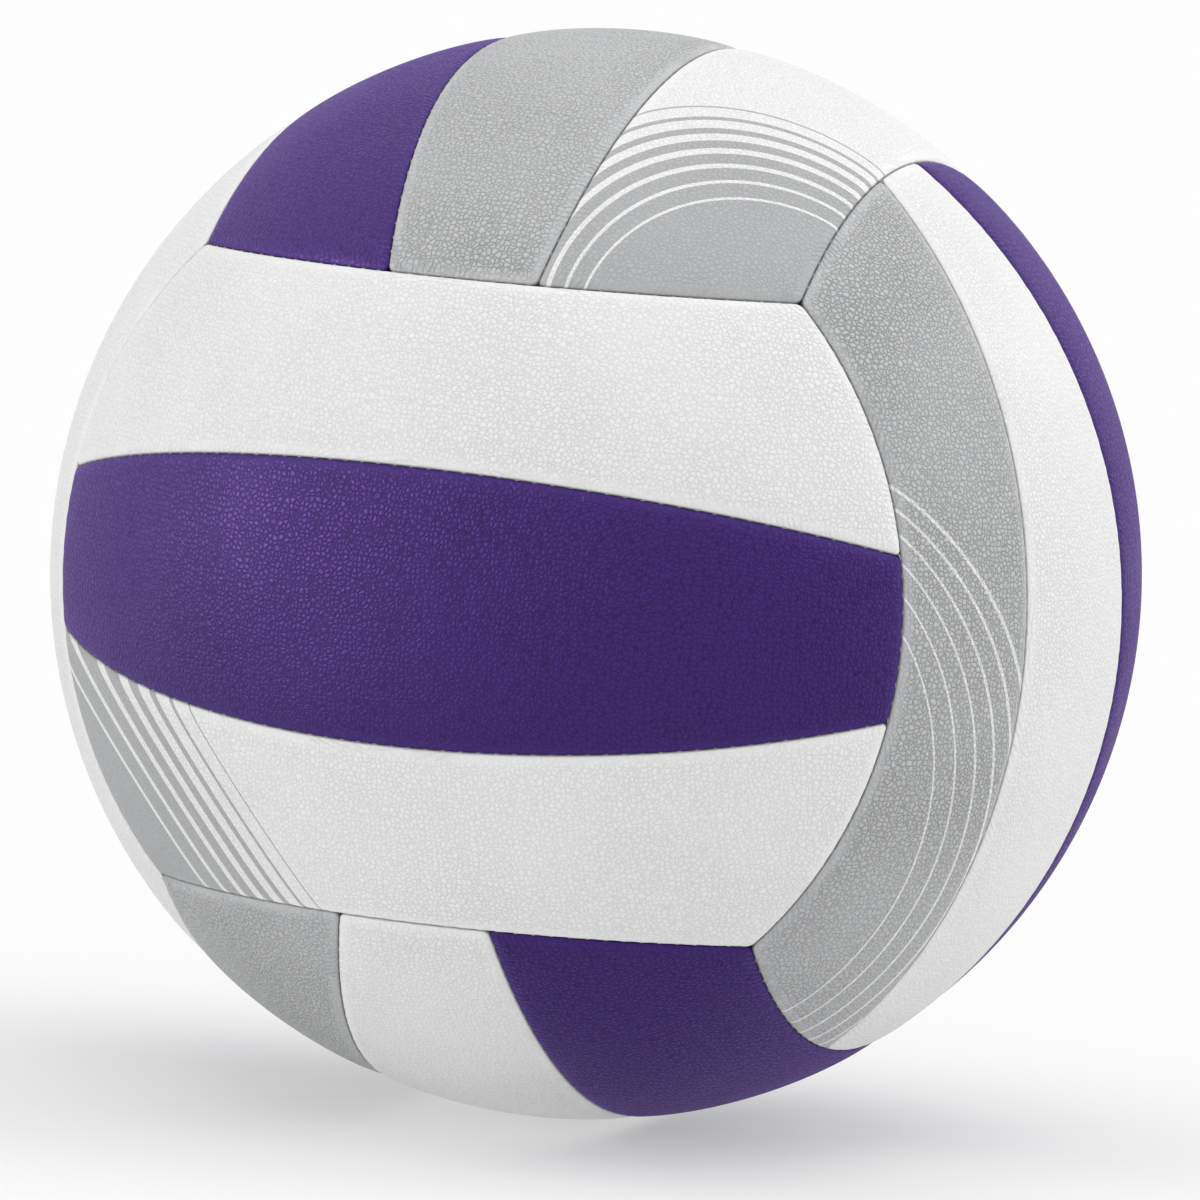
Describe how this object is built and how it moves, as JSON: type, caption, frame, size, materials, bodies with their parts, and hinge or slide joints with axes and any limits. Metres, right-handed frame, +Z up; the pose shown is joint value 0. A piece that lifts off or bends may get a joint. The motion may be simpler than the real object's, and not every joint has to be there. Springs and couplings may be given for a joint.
{
  "type": "volleyball",
  "caption": "Inflated indoor volleyball with padded strips stitched in crossing groups, graded stripes, a rubber bladder and a needle valve.",
  "frame": {"origin": "centre of the ball", "axes": "+Z up, front group of strips faces -Y with its strips along X, +Y along the valve's needle channel, out of the ball"},
  "size_m": [0.21, 0.2099, 0.21],
  "materials": {
    "white_cover": "pebbled synthetic leather, satin",
    "violet_cover": "pebbled synthetic leather, satin",
    "grey_cover": "pebbled synthetic leather, satin",
    "foam": "closed cell foam, matt",
    "lining_cloth": "plain woven cotton and polyester",
    "bladder_rubber": "smooth butyl rubber",
    "valve_rubber": "moulded rubber, matt",
    "thread": "waxed polyester thread"
  },
  "bodies": {
    "root": {"front_upper_panel": "white_cover", "front_upper_foam": "foam", "front_upper_lining": "lining_cloth", "front_middle_panel": "violet_cover", "front_middle_foam": "foam", "front_middle_lining": "lining_cloth", "front_lower_panel": "white_cover", "front_lower_foam": "foam", "front_lower_lining": "lining_cloth", "back_upper_panel": "white_cover", "back_upper_foam": "foam", "back_upper_lining": "lining_cloth", "back_middle_panel": "violet_cover", "back_middle_foam": "foam", "back_middle_lining": "lining_cloth", "back_lower_panel": "white_cover", "back_lower_foam": "foam", "back_lower_lining": "lining_cloth", "top_left_panel": "violet_cover", "top_left_foam": "foam", "top_left_lining": "lining_cloth", "top_middle_panel": "grey_cover", "top_middle_foam": "foam", "top_middle_lining": "lining_cloth", "top_right_panel": "white_cover", "top_right_foam": "foam", "top_right_lining": "lining_cloth", "bottom_left_panel": "grey_cover", "bottom_left_foam": "foam", "bottom_left_lining": "lining_cloth", "bottom_middle_panel": "white_cover", "bottom_middle_foam": "foam", "bottom_middle_lining": "lining_cloth", "bottom_right_panel": "violet_cover", "bottom_right_foam": "foam", "bottom_right_lining": "lining_cloth", "right_front_panel": "grey_cover", "right_front_foam": "foam", "right_front_lining": "lining_cloth", "right_middle_panel": "white_cover", "right_middle_foam": "foam", "right_middle_lining": "lining_cloth", "right_back_panel": "violet_cover", "right_back_foam": "foam", "right_back_lining": "lining_cloth", "left_front_panel": "white_cover", "left_front_foam": "foam", "left_front_lining": "lining_cloth", "left_middle_panel": "grey_cover", "left_middle_foam": "foam", "left_middle_lining": "lining_cloth", "left_back_panel": "violet_cover", "left_back_foam": "foam", "left_back_lining": "lining_cloth", "bladder": "bladder_rubber", "valve_body": "valve_rubber", "valve_core": "valve_rubber", "seam_thread": "thread"}
  },
  "joints": []
}
